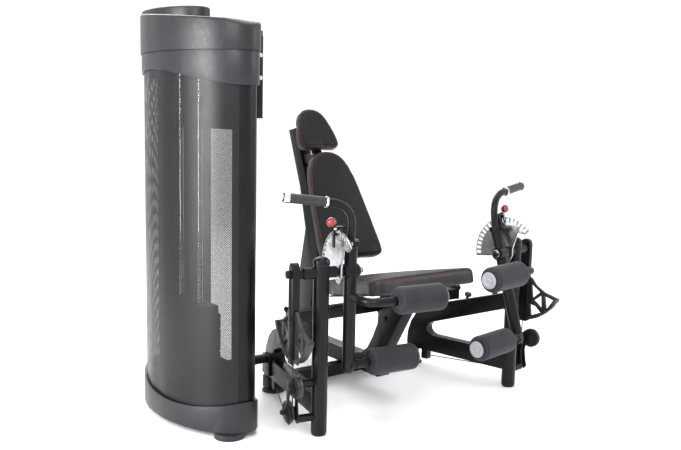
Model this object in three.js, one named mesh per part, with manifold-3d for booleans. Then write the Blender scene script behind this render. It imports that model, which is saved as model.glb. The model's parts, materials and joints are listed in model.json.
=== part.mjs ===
// Seated leg extension machine with a weight tower, in millimetres, +Z up.
// The user sits facing -Y; +X is the user's left. The origin is on the floor, under the middle of the machine.
import * as THREE from "three";
import { ConvexGeometry } from "three/addons/geometries/ConvexGeometry.js";
import { mergeVertices } from "three/addons/utils/BufferGeometryUtils.js";
import Module from "manifold-3d";

const wasm = await Module();
wasm.setup();

// ---------------------------------------------------------------- driving dimensions
const GAP = 0.3; // between pieces that touch
const POST_SPACING_HALF = 515;
const PIVOT_HEIGHT = 614;
const TOE_IN = THREE.MathUtils.degToRad(12); // each pivot line turns this far from the machine's width
const LEFT_ARM_SWING = THREE.MathUtils.degToRad(16); // the left arm stands two notches forward

const POST_RADIUS = 30;
const HOUSING_RADIUS = 21.5;
const SHAFT_RADIUS = 12.7;
const BORE_RADIUS = 13.3;
const ARM_RADIUS = 24;
const ARM_INSET = 116; // from the post's middle to the arm tube's middle
const ARM_DROP = 392;
const COLLAR_TOP = 117;
const HANDLE_RADIUS = 14.5;
const HANDLE_BEND = 100;
const AXLE_RADIUS = 16;
const ROLLER_RADIUS = 51;
const ROLLER_LENGTH = 208;
const ROLLER_YAW = THREE.MathUtils.degToRad(5);
const CABLE_RADIUS = 2.5;

const NOTCH_PITCH_DEG = 8;
const FIRST_NOTCH_DEG = 50;
const NOTCH_COUNT = 18;
const PLATE_RADIUS = 151;
const NOTCH_OUTER = 148;
const NOTCH_INNER = 127;

const PULLEY_RADIUS = 41;
const CAM_PLANE = -105.5; // along the pivot line, outside the post
const LEVER_HALF_WIDTH = 25;

const SPINE_TOP = 135;
const SPINE_BOTTOM = 66;
const SPINE_FRONT_Y = 250;
const SPINE_BACK_Y = 960;
const FOOT_BEAM_Y = [500, 550];
const FOOT_HEIGHT = 12;

const SEAT_SLOPE = 0.2; // the seat rises towards its front
const SEAT_FRONT_Y = -30;
const SEAT_FRONT_Z = 570;
const SEAT_THICKNESS = 68;

const TOWER_MID_Y = 480;
const TOWER_OUTLINE_HALF = [
  [-953, 0], [-949, 80], [-913, 207], [-842, 320], [-762, 368], [-705, 354], [-674, 290], [-660, 190],
];
const TOWER_INNER_X = -656;
const BASE_FLOOR_Z = 20;
const SHROUD_TOP = 1390;
const CAP_BOTTOM = 1400;

const ROUND = 18; // sides of an ordinary round part
const SMALL_ROUND = 10;

// ---------------------------------------------------------------- shape helpers
const vec = (x, y, z) => new THREE.Vector3(x, y, z);

// A closed three.js geometry as a solid that can be joined and cut.
function solid(geometry) {
  const bare = new THREE.BufferGeometry();
  const source = geometry.index ? geometry.toNonIndexed() : geometry;
  bare.setAttribute("position", source.getAttribute("position"));
  const welded = mergeVertices(bare, 1e-3);
  const kept = [];
  const index = welded.index.array;
  for (let i = 0; i < index.length; i += 3) {
    const [a, b, c] = [index[i], index[i + 1], index[i + 2]];
    if (a !== b && b !== c && c !== a) kept.push(a, b, c);
  }
  return new wasm.Manifold(
    new wasm.Mesh({
      numProp: 3,
      vertProperties: new Float32Array(welded.attributes.position.array),
      triVerts: new Uint32Array(kept),
    }),
  );
}

const join = (first, ...rest) => rest.reduce((sum, piece) => sum.add(piece), first);
const cut = (first, ...rest) => rest.reduce((left, piece) => left.subtract(piece), first);

function box([x0, x1], [y0, y1], [z0, z1]) {
  const geometry = new THREE.BoxGeometry(x1 - x0, y1 - y0, z1 - z0);
  return solid(geometry.translate((x0 + x1) / 2, (y0 + y1) / 2, (z0 + z1) / 2));
}

// Turns a geometry built round +Y from the origin so that it starts at `from` and points along `direction`.
function aim(geometry, from, direction) {
  const turn = new THREE.Quaternion().setFromUnitVectors(vec(0, 1, 0), direction.clone().normalize());
  return geometry.applyQuaternion(turn).translate(from.x, from.y, from.z);
}

function rod(radius, from, to, sides = ROUND) {
  const along = to.clone().sub(from);
  const geometry = new THREE.CylinderGeometry(radius, radius, along.length(), sides);
  return solid(aim(geometry.translate(0, along.length() / 2, 0), from, along));
}

// A turned part: profile points are [radius, distance along the axis].
function turned(profile, from, direction, sides = ROUND) {
  const points = profile.map(([r, t]) => new THREE.Vector2(r, t));
  return solid(aim(new THREE.LatheGeometry(points, sides), from, direction));
}

function shapeOf(outline, holes = []) {
  const points = outline.map(([a, b]) => new THREE.Vector2(a, b));
  const shape = new THREE.Shape(THREE.ShapeUtils.isClockWise(points) ? points.reverse() : points);
  shape.holes = holes.map((hole) => new THREE.Path(hole.map(([a, b]) => new THREE.Vector2(a, b))));
  return shape;
}

// Flat outlines pushed through a thickness. Along x the outline is [y, z], along y [x, z], along z [x, y].
function slabX(outline, [x0, x1], holes) {
  const geometry = new THREE.ExtrudeGeometry(shapeOf(outline, holes), { depth: x1 - x0, bevelEnabled: false });
  const turn = new THREE.Matrix4().makeBasis(vec(0, 1, 0), vec(0, 0, 1), vec(1, 0, 0));
  return solid(geometry.applyMatrix4(turn).translate(x0, 0, 0));
}
function slabY(outline, [y0, y1], holes) {
  const geometry = new THREE.ExtrudeGeometry(shapeOf(outline, holes), { depth: y1 - y0, bevelEnabled: false });
  const turn = new THREE.Matrix4().makeBasis(vec(1, 0, 0), vec(0, 0, 1), vec(0, -1, 0));
  return solid(geometry.applyMatrix4(turn).translate(0, y1, 0));
}
function slabZ(outline, [z0, z1], holes) {
  const geometry = new THREE.ExtrudeGeometry(shapeOf(outline, holes), { depth: z1 - z0, bevelEnabled: false });
  return solid(geometry.translate(0, 0, z0));
}

// A path of straight runs joined by rounded corners, sampled only where it bends.
class Route extends THREE.Curve {
  constructor(corners, radius, arcSteps) {
    super();
    this.points = [corners[0].clone()];
    for (let i = 1; i < corners.length - 1; i++) {
      const [before, corner, after] = corners.slice(i - 1, i + 2);
      const into = corner.clone().sub(before).normalize();
      const out = after.clone().sub(corner).normalize();
      const reach = radius * Math.tan(into.angleTo(out) / 2);
      const start = corner.clone().addScaledVector(into, -reach);
      const end = corner.clone().addScaledVector(out, reach);
      for (let k = 0; k <= arcSteps; k++) {
        const bend = new THREE.QuadraticBezierCurve3(start, corner, end);
        this.points.push(bend.getPoint(k / arcSteps));
      }
    }
    this.points.push(corners.at(-1).clone());
  }
  getPoint(t) {
    const place = t * (this.points.length - 1);
    const low = Math.min(Math.floor(place), this.points.length - 2);
    return this.points[low].clone().lerp(this.points[low + 1], place - low);
  }
  getPointAt(u) {
    return this.getPoint(u);
  }
  getSpacedPoints() {
    return this.points.map((point) => point.clone());
  }
  getTangentAt(u) {
    const i = Math.round(u * (this.points.length - 1));
    const before = this.points[Math.max(i - 1, 0)];
    const here = this.points[i];
    const after = this.points[Math.min(i + 1, this.points.length - 1)];
    const into = here.clone().sub(before).normalize();
    const out = after.clone().sub(here).normalize();
    return into.add(out).normalize();
  }
}

function tube(corners, radius, bendRadius, sides = SMALL_ROUND, arcSteps = 6) {
  const route = new Route(corners, bendRadius, arcSteps);
  const ring = [];
  for (let i = 0; i < sides; i++) {
    const angle = (2 * Math.PI * i) / sides;
    ring.push([radius * Math.cos(angle), radius * Math.sin(angle)]);
  }
  return solid(
    new THREE.ExtrudeGeometry(shapeOf(ring), { steps: route.points.length - 1, extrudePath: route }),
  );
}

const polar = (radius, degrees) => {
  const angle = THREE.MathUtils.degToRad(degrees);
  return [radius * Math.cos(angle), radius * Math.sin(angle)];
};
const arc = (radius, fromDeg, toDeg, steps) =>
  Array.from({ length: steps + 1 }, (_, i) => polar(radius, fromDeg + ((toDeg - fromDeg) * i) / steps));
const mirrored = (outline) => outline.map(([a, b]) => [-a, b]).reverse();

// ---------------------------------------------------------------- materials and nodes
const FINISHES = {
  black_paint: ["#17181a", 0.42, 0.55],
  grey_cover: ["#3b3d42", 0.38, 0.35],
  mesh_sheet: ["#222427", 0.5, 0.5],
  zinc: ["#b9bcc0", 0.32, 0.9],
  chrome: ["#d5d7da", 0.15, 1.0],
  cast_plate: ["#26282b", 0.6, 0.6],
  vinyl: ["#1c1c1e", 0.55, 0.0],
  foam: ["#3c4047", 0.75, 0.0],
  rubber: ["#1b1b1c", 0.8, 0.0],
  red_ball: ["#a81420", 0.2, 0.0],
  black_plastic: ["#202123", 0.5, 0.0],
};

const machine = new THREE.Group();
machine.name = "leg_extension_machine";

function add(name, piece, finish, placement = new THREE.Matrix4()) {
  const { vertProperties, triVerts, numProp } = piece.getMesh();
  const positions = new Float32Array((vertProperties.length / numProp) * 3);
  for (let i = 0; i < positions.length / 3; i++)
    for (let k = 0; k < 3; k++) positions[3 * i + k] = vertProperties[numProp * i + k];
  const faces = Array.from(triVerts);
  if (placement.determinant() < 0)
    for (let i = 0; i < faces.length; i += 3) [faces[i + 1], faces[i + 2]] = [faces[i + 2], faces[i + 1]];
  let geometry = new THREE.BufferGeometry();
  geometry.setAttribute("position", new THREE.BufferAttribute(positions, 3));
  geometry.setIndex(faces);
  geometry = geometry.applyMatrix4(placement).toNonIndexed();
  geometry.computeVertexNormals();
  const [color, roughness, metalness] = FINISHES[finish];
  const mesh = new THREE.Mesh(geometry, new THREE.MeshStandardMaterial({ color, roughness, metalness }));
  mesh.name = name;
  machine.add(mesh);
}

// ---------------------------------------------------------------- one side of the machine
// Built round its own pivot: x runs inward along the pivot line, y forward, z up.
const FLOOR = -PIVOT_HEIGHT;

// The post with the pivot housing welded through it.
function postWithHousing() {
  const standing = turned(
    [
      [0, FLOOR], [25, FLOOR], [POST_RADIUS, FLOOR + 14], [POST_RADIUS, 31], [31.5, 31], [31.5, 38],
      [24, 51], [0, 60],
    ],
    vec(0, 0, 0), vec(0, 0, 1),
  );
  const housing = rod(HOUSING_RADIUS, vec(-70, 0, 0), vec(58, 0, 0));
  const flange = rod(HOUSING_RADIUS + 1.5, vec(-74, 0, 0), vec(-68, 0, 0));
  return cut(join(standing, housing, flange), rod(BORE_RADIUS, vec(-80, 0, 0), vec(64, 0, 0)));
}

function sideFrame() {
  const outline = [
    [0, -184], [-400, -305], [-455, -325], [-500, -362], [-530, -408], [-547, -460], [-551, -505], [-548, -537],
    [0, -537], [0, -459], [-400, -459], [-422, -452], [-435, -438], [-437, -420], [-426, -403], [-405, -393],
    [0, -255],
  ];
  const loop = slabX(outline, [-25, 25]);
  const cableBlock = box([-20, 14], [-470, -436], [-584, -530]);
  return cut(join(loop, cableBlock), rod(POST_RADIUS + 2 * GAP, vec(0, 0, -600), vec(0, 0, -100)));
}

function driveShaft() {
  return join(
    rod(SHAFT_RADIUS, vec(-132, 0, 0), vec(150, 0, 0), SMALL_ROUND),
    rod(15, vec(-136, 0, 0), vec(-118.3, 0, 0), 6),
    rod(18, vec(-92.7, 0, 0), vec(-74.3, 0, 0), 16),
    rod(18, vec(70.3, 0, 0), vec(87.7, 0, 0), 16),
    rod(16.5, vec(146.3, 0, 0), vec(152, 0, 0), 16),
    rod(12, vec(151, 0, 0), vec(163, 0, 0), 6),
  );
}

function driveLever() {
  const top = Array.from({ length: 9 }, (_, i) => polar(LEVER_HALF_WIDTH, (180 * i) / 8));
  const outline = [
    [-LEVER_HALF_WIDTH, -332], [LEVER_HALF_WIDTH, -332], ...top.map(([y, z]) => [y, z + 17]),
  ];
  const bar = slabX(outline, [-118, -93]);
  const camSlot = box([CAM_PLANE - 6.3, CAM_PLANE + 6.3], [-40, 40], [-340, -128]);
  return cut(bar, camSlot, rod(BORE_RADIUS, vec(-130, 0, 0), vec(-80, 0, 0)));
}

// The fan-shaped cable cam: two ribbed wings, the same on both sides of the lever.
function cableCam() {
  const halfEdge = [
    [37, -131], [62, -163], [103, -188], [166, -206], [168, -216], [143, -253], [110, -284], [75, -307], [37, -321],
  ];
  const windows = [
    [[38, -157], [82, -190], [46, -222]],
    [[53, -232], [88, -204], [93, -264], [70, -243]],
    [[104, -203], [146, -216], [114, -264]],
    [[36, -250], [63, -257], [88, -281], [41, -301]],
  ];
  const plate = slabX(
    [...halfEdge, [0, -325], ...mirrored(halfEdge), [0, -128]],
    [CAM_PLANE - 6, CAM_PLANE + 6],
    [...windows, ...windows.map(mirrored)],
  );
  const rimHalf = [
    [166, -206], [168, -216], [143, -253], [110, -284], [75, -307], [37, -321],
    [34, -309], [70, -295], [103, -274], [134, -244], [154, -212],
  ];
  const rims = [rimHalf, mirrored(rimHalf)].map((rim) => slabX(rim, [CAM_PLANE - 12, CAM_PLANE + 12]));
  return join(plate, ...rims);
}

// The notched plate the arm locks to; each notch is a window that the pin drops into.
function rangePlate() {
  const lastNotch = FIRST_NOTCH_DEG + NOTCH_PITCH_DEG * (NOTCH_COUNT - 1);
  const outline = [
    ...arc(PLATE_RADIUS, FIRST_NOTCH_DEG - 7, lastNotch + 7, 26),
    [-118, -30], [-60, -24], [-26, -26], [-4, -44], [14, -44], [30, -14], [30, 16], [52, 90], [86, 84],
  ];
  const notches = Array.from({ length: NOTCH_COUNT }, (_, i) => {
    const middle = FIRST_NOTCH_DEG + NOTCH_PITCH_DEG * i;
    return [
      polar(NOTCH_INNER, middle - 2.4), polar(NOTCH_OUTER, middle - 2.6),
      polar(NOTCH_OUTER, middle + 2.6), polar(NOTCH_INNER, middle + 2.4),
    ];
  });
  const tabHole = Array.from({ length: 8 }, (_, i) => polar(4, -45 * i)).map(([y, z]) => [y + 5, z - 32]);
  return cut(slabX(outline, [64, 70], [...notches, tabHole]), rod(BORE_RADIUS, vec(55, 0, 0), vec(80, 0, 0)));
}

// ---------------------------------------------------------------- the swinging arm
const UPPER_AXLE_DROP = 92;
const UPPER_AXLE_REACH = 155;
const LOWER_AXLE_DROP = 357;
const LOWER_AXLE_REACH = 12;
const UPPER_ROLLER_START = 233;
const LOWER_ROLLER_START = 200;
const rollerLine = vec(Math.cos(ROLLER_YAW), -Math.sin(ROLLER_YAW), 0);
const axlePoint = (reach, drop, inset) =>
  vec(ARM_INSET, reach, -drop).addScaledVector(rollerLine, (inset - ARM_INSET) / rollerLine.x);

const lowerAxleAt = (inset) => axlePoint(LOWER_AXLE_REACH, LOWER_AXLE_DROP, inset);

const HANDLE_PATH = [vec(ARM_INSET, 0, 62), vec(ARM_INSET, 0, 128), vec(ARM_INSET, 20, 247), vec(-152, 14, 279)];
const GRIP_INSET = 12;
const GRIP_LENGTH = 163;

const PIN_HEIGHT = 138;
const LEVER_TOP = vec(46.5, 0, 168);
const BALL_CENTRE = vec(31, 12, 185);
const BALL_RADIUS = 17.5;

function armTube() {
  const body = turned(
    [[0, -ARM_DROP], [18, -ARM_DROP + 6], [ARM_RADIUS, -ARM_DROP + 20], [ARM_RADIUS, 104], [0, 104]],
    vec(ARM_INSET, 0, 0), vec(0, 0, 1),
  );
  const collar = rod(29, vec(ARM_INSET, 0, 94), vec(ARM_INSET, 0, COLLAR_TOP));
  const clampEars = box([ARM_INSET - 10, ARM_INSET + 10], [24, 44], [95, 116]);
  const hub = rod(27, vec(88, 0, 0), vec(146, 0, 0));
  const axleBore = AXLE_RADIUS + 2 * GAP;
  const bracket = join(
    box([79, 96], [-13, 13], [96, 168]),
    box([57, 92], [-13, 13], [159, 168]),
    box([40, 58], [-13, -9.4], [152, 168]),
    box([40, 58], [9.4, 13], [152, 168]),
  );
  return cut(
    join(body, collar, clampEars, hub, bracket),
    rod(BORE_RADIUS, vec(70, 0, 0), vec(160, 0, 0)),
    rod(HANDLE_RADIUS + 2 * GAP, vec(ARM_INSET, 0, 62 - GAP), vec(ARM_INSET, 0, 130), SMALL_ROUND),
    rod(axleBore, vec(ARM_INSET, -GAP, -UPPER_AXLE_DROP), vec(ARM_INSET, 60, -UPPER_AXLE_DROP), SMALL_ROUND),
    rod(axleBore, lowerAxleAt(ARM_INSET - GAP), lowerAxleAt(170), SMALL_ROUND),
  );
}

function axle(path, bendRadius, rollerStart, reach, drop) {
  const end = rollerStart + ROLLER_LENGTH;
  const disc = rod(33, axlePoint(reach, drop, end + 1.5), axlePoint(reach, drop, end + 6), 24);
  return join(tube(path, AXLE_RADIUS, bendRadius, SMALL_ROUND), disc);
}
function upperAxle() {
  const path = [
    vec(ARM_INSET, 0, -UPPER_AXLE_DROP),
    vec(ARM_INSET, UPPER_AXLE_REACH, -UPPER_AXLE_DROP),
    axlePoint(UPPER_AXLE_REACH, UPPER_AXLE_DROP, UPPER_ROLLER_START + ROLLER_LENGTH + 2),
  ];
  return axle(path, 70, UPPER_ROLLER_START, UPPER_AXLE_REACH, UPPER_AXLE_DROP);
}
function lowerAxle() {
  const path = [lowerAxleAt(ARM_INSET), lowerAxleAt(LOWER_ROLLER_START + ROLLER_LENGTH + 2)];
  return axle(path, 0, LOWER_ROLLER_START, LOWER_AXLE_REACH, LOWER_AXLE_DROP);
}

function roller(reach, drop, start) {
  const bore = AXLE_RADIUS + 2 * GAP;
  const [L, R] = [ROLLER_LENGTH, ROLLER_RADIUS];
  return turned(
    [
      [bore, 0], [R - 12, 0], [R - 3, 6], [R, 16], [R, L - 16], [R - 3, L - 6], [R - 12, L],
      [bore, L], [bore, 0],
    ],
    axlePoint(reach, drop, start), rollerLine,
  );
}

const handleTube = () => tube(HANDLE_PATH, HANDLE_RADIUS, HANDLE_BEND, SMALL_ROUND, 5);

function handleGrip() {
  const line = HANDLE_PATH[3].clone().sub(HANDLE_PATH[2]).normalize();
  const bore = HANDLE_RADIUS + 2 * GAP;
  const end = GRIP_LENGTH;
  return turned(
    [
      [bore, 0], [20, 0], [20, 9], [17.5, 9], [17.5, end - 17], [20, end - 17],
      [20, end - 2], [17, end + 6], [0, end + 6], [0, end + 4], [bore, end + 4], [bore, 0],
    ],
    handlePointAt(GRIP_INSET), line, 12,
  );
}
// The point on the handle's last straight run that stands `inset` along the pivot line.
function handlePointAt(inset) {
  const line = HANDLE_PATH[3].clone().sub(HANDLE_PATH[2]);
  return HANDLE_PATH[2].clone().addScaledVector(line, (inset - HANDLE_PATH[2].x) / line.x);
}

function pinLever() {
  const stem = BALL_CENTRE.clone().sub(LEVER_TOP);
  const stemEnd = LEVER_TOP.clone().addScaledVector(stem, 1 - (BALL_RADIUS + GAP) / stem.length());
  return join(
    box([44, 49], [-9, 9], [90, 172]),
    rod(4.4, vec(46, 0, PIN_HEIGHT), vec(64 - GAP, 0, PIN_HEIGHT), SMALL_ROUND),
    rod(3.5, LEVER_TOP, stemEnd, SMALL_ROUND),
  );
}
function pinKnob() {
  const profile = Array.from({ length: 9 }, (_, i) => {
    const angle = -Math.PI / 2 + (Math.PI * i) / 8;
    return [i % 8 === 0 ? 0 : BALL_RADIUS * Math.cos(angle), BALL_RADIUS * Math.sin(angle)];
  });
  return turned(profile, BALL_CENTRE, vec(0, 0, 1), 12);
}

// ---------------------------------------------------------------- cable pulleys
const GUIDE_CENTRE = [45, -405];
const LOW_CENTRE = [-43, -527];
const PULLEY_HALF = 9;

function pulley([y, z]) {
  const R = PULLEY_RADIUS;
  const t = PULLEY_HALF;
  const bore = 6.3;
  return turned(
    [[bore, -t], [R, -t], [R, -t + 3], [R - 5, 0], [R, t - 3], [R, t], [bore, t], [bore, -t]],
    vec(CAM_PLANE, y, z), vec(1, 0, 0), 18,
  );
}

function pulleyBracket() {
  const cheek = [
    [-14, -392], [48, -388], [62, -400], [62, -414], [50, -424], [16, -430], [8, -470], [14, -520], [20, -545],
    [10, -558], [-50, -545], [-62, -533], [-60, -518], [-46, -510], [-16, -500], [-14, -440],
  ];
  const inner = slabX(cheek, [-91, -87]);
  const outer = slabX(cheek, [-125, -121]);
  const pins = [GUIDE_CENTRE, LOW_CENTRE].map(([y, z]) => rod(6, vec(-131, y, z), vec(-85, y, z), SMALL_ROUND));
  const arms = [rod(16, vec(-90, 0, -410), vec(0, 0, -410), 12), rod(15, vec(-90, 4, -541), vec(0, 4, -541), 12)];
  return cut(
    join(inner, outer, ...pins, ...arms),
    rod(POST_RADIUS + 2 * GAP, vec(0, 0, -612), vec(0, 0, -300)),
  );
}

// From the cam's lowest point down past the guide pulley, under the low pulley and back to the frame's block.
function driveCable() {
  const [lowY, lowZ] = LOW_CENTRE;
  const wrap = PULLEY_RADIUS - 2 + CABLE_RADIUS;
  return tube(
    [
      vec(CAM_PLANE, lowY + wrap, -328),
      vec(CAM_PLANE, lowY + wrap, lowZ - wrap),
      vec(CAM_PLANE, lowY - 8, lowZ - wrap),
      vec(-12, -434.4, lowZ - wrap),
    ],
    CABLE_RADIUS, 40, 6, 5,
  );
}

// ---------------------------------------------------------------- placing the two sides
function sidePlacement(side) {
  const inward = vec(-side * Math.cos(TOE_IN), -Math.sin(TOE_IN), 0);
  const forward = vec(side * Math.sin(TOE_IN), -Math.cos(TOE_IN), 0);
  return new THREE.Matrix4()
    .makeBasis(inward, forward, vec(0, 0, 1))
    .setPosition(side * POST_SPACING_HALF, 0, PIVOT_HEIGHT);
}

for (const [side, label, swing] of [[-1, "right", 0], [1, "left", LEFT_ARM_SWING]]) {
  const place = sidePlacement(side);
  // Swinging forward lifts the arm's lower end towards +y.
  const onArm = place.clone().multiply(new THREE.Matrix4().makeRotationX(swing));
  add(`${label}_post`, postWithHousing(), "black_paint", place);
  add(`${label}_side_frame`, sideFrame(), "black_paint", place);
  add(`${label}_drive_shaft`, driveShaft(), "zinc", place);
  add(`${label}_drive_lever`, driveLever(), "black_paint", place);
  add(`${label}_cable_cam`, cableCam(), "black_plastic", place);
  add(`${label}_range_plate`, rangePlate(), "zinc", place);
  add(`${label}_pulley_bracket`, pulleyBracket(), "black_paint", place);
  add(`${label}_guide_pulley`, pulley(GUIDE_CENTRE), "black_plastic", place);
  add(`${label}_low_pulley`, pulley(LOW_CENTRE), "black_plastic", place);
  add(`${label}_drive_cable`, driveCable(), "rubber", place);
  add(`${label}_arm_tube`, armTube(), "black_paint", onArm);
  add(`${label}_handle_tube`, handleTube(), "black_paint", onArm);
  add(`${label}_handle_grip`, handleGrip(), "rubber", onArm);
  add(`${label}_upper_roller_axle`, upperAxle(), "black_paint", onArm);
  add(`${label}_lower_roller_axle`, lowerAxle(), "black_paint", onArm);
  add(`${label}_upper_roller`, roller(UPPER_AXLE_REACH, UPPER_AXLE_DROP, UPPER_ROLLER_START), "foam", onArm);
  add(`${label}_lower_roller`, roller(LOWER_AXLE_REACH, LOWER_AXLE_DROP, LOWER_ROLLER_START), "foam", onArm);
  add(`${label}_pin_lever`, pinLever(), "black_paint", onArm);
  add(`${label}_pin_knob`, pinKnob(), "red_ball", onArm);
}

// ---------------------------------------------------------------- centre frame
const seatTop = (y) => SEAT_FRONT_Z - SEAT_SLOPE * (y - SEAT_FRONT_Y);
const PAN_DROP = SEAT_THICKNESS + 1.5;
const PAN_THICKNESS = 8;
const COLUMN_FRONT_Y = 88;
const COLUMN_BACK_Y = 240;
const panBottom = (y) => seatTop(y) - PAN_DROP - PAN_THICKNESS;

add("spine_beam", box([-35, 35], [SPINE_FRONT_Y, SPINE_BACK_Y], [SPINE_BOTTOM, SPINE_TOP]), "black_paint");

const columnSide = [
  [COLUMN_FRONT_Y, panBottom(COLUMN_FRONT_Y) + 1], [101, 377], [195, 222], [247, SPINE_TOP + GAP],
  [430, SPINE_TOP + GAP], [380, 143], [335, 178], [300, 232], [268, 300], [264, 345], [274.7, 352], [274.7, 398],
  [COLUMN_BACK_Y, panBottom(COLUMN_BACK_Y) + 1],
];
const seatPan = [
  [40, seatTop(40) - PAN_DROP], [40, panBottom(40)], [430, panBottom(430)], [430, seatTop(430) - PAN_DROP],
];
add("seat_column", join(slabX(columnSide, [-30, 30]), slabX(seatPan, [-170, 170])), "black_paint");

const SEAT_TUBE_Z = [350, 398];
add(
  "seat_cross_tube",
  join(
    box([-452, 452], [275, 325], SEAT_TUBE_Z),
    ...[-1, 1].map((s) => box([s * 452 - 5, s * 452 + 5], [266, 334], [350, 413])),
  ),
  "black_paint",
);

const FOOT_BEAM_TOP = SPINE_BOTTOM - GAP;
const RISER_X = 400;
add(
  "rear_foot_beam",
  join(
    box([-430, 430], FOOT_BEAM_Y, [FOOT_HEIGHT + GAP, FOOT_BEAM_TOP]),
    ...[-1, 1].map((s) => box([s * RISER_X - 24, s * RISER_X + 24], FOOT_BEAM_Y, [40, PIVOT_HEIGHT - 537 - GAP])),
  ),
  "black_paint",
);
for (const [side, label] of [[-1, "right"], [1, "left"]])
  add(
    `${label}_levelling_foot`,
    turned([[0, 0], [50, 0], [50, 6], [34, FOOT_HEIGHT], [0, FOOT_HEIGHT]], vec(side * 395, 515, 0), vec(0, 0, 1), 24),
    "rubber",
  );

const uprightSide = [
  [790, SPINE_TOP + GAP], [885, SPINE_TOP + GAP], [873, 454], [831, 645], [884, 843], [988, 1108],
  [928, 1120], [842, 900], [775, 720], [742, 640], [728, 530], [762, 400],
];
// The bent flat rail behind both pads, and the three short stubs that carry it on the upright.
const padRail = [
  [566.5, 640], [757.8, 1001], [783.4, 1008.2], [873, 1157], [881, 1152], [791, 1000], [765, 993], [574, 634],
];
const stubs = [
  [[590, 684], [616, 734], [785, 734], [768, 684]],
  [[733, 954], [756, 998], [880, 998], [862, 954]],
  [[822, 1068], [852, 1118], [932, 1118], [912, 1068]],
];
add(
  "back_upright",
  join(slabX(uprightSide, [-30, 30]), slabX(padRail, [-26, 26]), ...stubs.map((stub) => slabX(stub, [-22, 22]))),
  "black_paint",
);

// ---------------------------------------------------------------- pads
const SEAT_BACK_Y = 485;
const SEAT_HALF_WIDTH = 278;
const SEAT_BACK_HALF_WIDTH = 170;
const roundedPad = (halfFront, halfBack, length, corner) => [
  [-halfFront + corner, 0], [halfFront - corner, 0], [halfFront, corner], [halfBack, length - corner],
  [halfBack - corner, length], [-halfBack + corner, length], [-halfBack, length - corner], [-halfFront, corner],
];
// A pad lying in a tilted plane: its own x is the machine's x, its y climbs the slope, its z is the thickness.
function tiltedPad(outline, thickness, start, slope) {
  const geometry = new THREE.ExtrudeGeometry(shapeOf(outline), { depth: thickness, bevelEnabled: false });
  const along = slope.clone().normalize();
  const normal = vec(1, 0, 0).cross(along);
  const turn = new THREE.Matrix4().makeBasis(vec(1, 0, 0), along, normal).setPosition(start);
  return solid(geometry.applyMatrix4(turn));
}
const seatSlope = vec(0, 1, -SEAT_SLOPE);
const seatLength = (SEAT_BACK_Y - SEAT_FRONT_Y) * seatSlope.length();
const seatStart = vec(0, SEAT_FRONT_Y, SEAT_FRONT_Z - SEAT_THICKNESS * seatSlope.length());
const seatOutline = roundedPad(SEAT_HALF_WIDTH, SEAT_BACK_HALF_WIDTH, seatLength, 40);
add("seat_pad", tiltedPad(seatOutline, SEAT_THICKNESS, seatStart, seatSlope), "vinyl");

const BACKREST_LENGTH = 535;
const BACKREST_THICKNESS = 56;
const backSlope = vec(0, 0.53, 1);
const BACKREST_BOTTOM = vec(0, 457, 556);
const backrestOutline = [
  [-148, 0], [148, 0], [170, 24], [168, 80], [140, 330], [122, 430], [98, 490], [58, 524], [0, BACKREST_LENGTH],
  [-58, 524], [-98, 490], [-122, 430], [-140, 330], [-168, 80], [-170, 24],
];
const intoBack = (start, slope, thickness) =>
  start.clone().addScaledVector(vec(1, 0, 0).cross(slope.clone().normalize()), -thickness);
add(
  "backrest_pad",
  tiltedPad(backrestOutline, BACKREST_THICKNESS, intoBack(BACKREST_BOTTOM, backSlope, BACKREST_THICKNESS), backSlope),
  "vinyl",
);

const HEADREST_THICKNESS = 52;
const headSlope = vec(0, 0.6, 1);
const HEADREST_BOTTOM = vec(0, 738, 1036);
const headrestOutline = [
  [-92, 0], [92, 0], [112, 22], [106, 70], [80, 160], [62, 196], [30, 214], [0, 218],
  [-30, 214], [-62, 196], [-80, 160], [-106, 70], [-112, 22],
];
add(
  "headrest_pad",
  tiltedPad(headrestOutline, HEADREST_THICKNESS, intoBack(HEADREST_BOTTOM, headSlope, HEADREST_THICKNESS), headSlope),
  "vinyl",
);

// ---------------------------------------------------------------- weight tower
const towerCurve = new THREE.CatmullRomCurve3(
  [
    ...TOWER_OUTLINE_HALF.map(([x, y]) => vec(x, y, 0)),
    vec(TOWER_INNER_X, 0, 0),
    ...TOWER_OUTLINE_HALF.slice(1).reverse().map(([x, y]) => vec(x, -y, 0)),
  ],
  true,
);
const TOWER_SIDES = 36;
const towerPoints = towerCurve.getPoints(TOWER_SIDES).slice(0, TOWER_SIDES);
// The tower's plan, drawn in by `inset` all round.
function towerOutline(inset) {
  const count = towerPoints.length;
  return towerPoints.map((point, i) => {
    const before = towerPoints[(i + count - 1) % count];
    const after = towerPoints[(i + 1) % count];
    const along = after.clone().sub(before).normalize();
    const inwardX = -along.y;
    const inwardY = along.x;
    const sign = inwardX * (-800 - point.x) + inwardY * (0 - point.y) > 0 ? 1 : -1;
    return [point.x + sign * inwardX * inset, TOWER_MID_Y + point.y + sign * inwardY * inset];
  });
}
const towerPrism = (inset, range) => slabZ(towerOutline(inset), range);
const towerRing = (outer, inner, [z0, z1]) => cut(towerPrism(outer, [z0, z1]), towerPrism(inner, [z0 - 1, z1 + 1]));
// A curved blade the width of the tower, used to give an edge its long sweep: points are [y, z].
const sweepBlade = (edge) => slabX(edge, [-1100, -500]);

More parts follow.
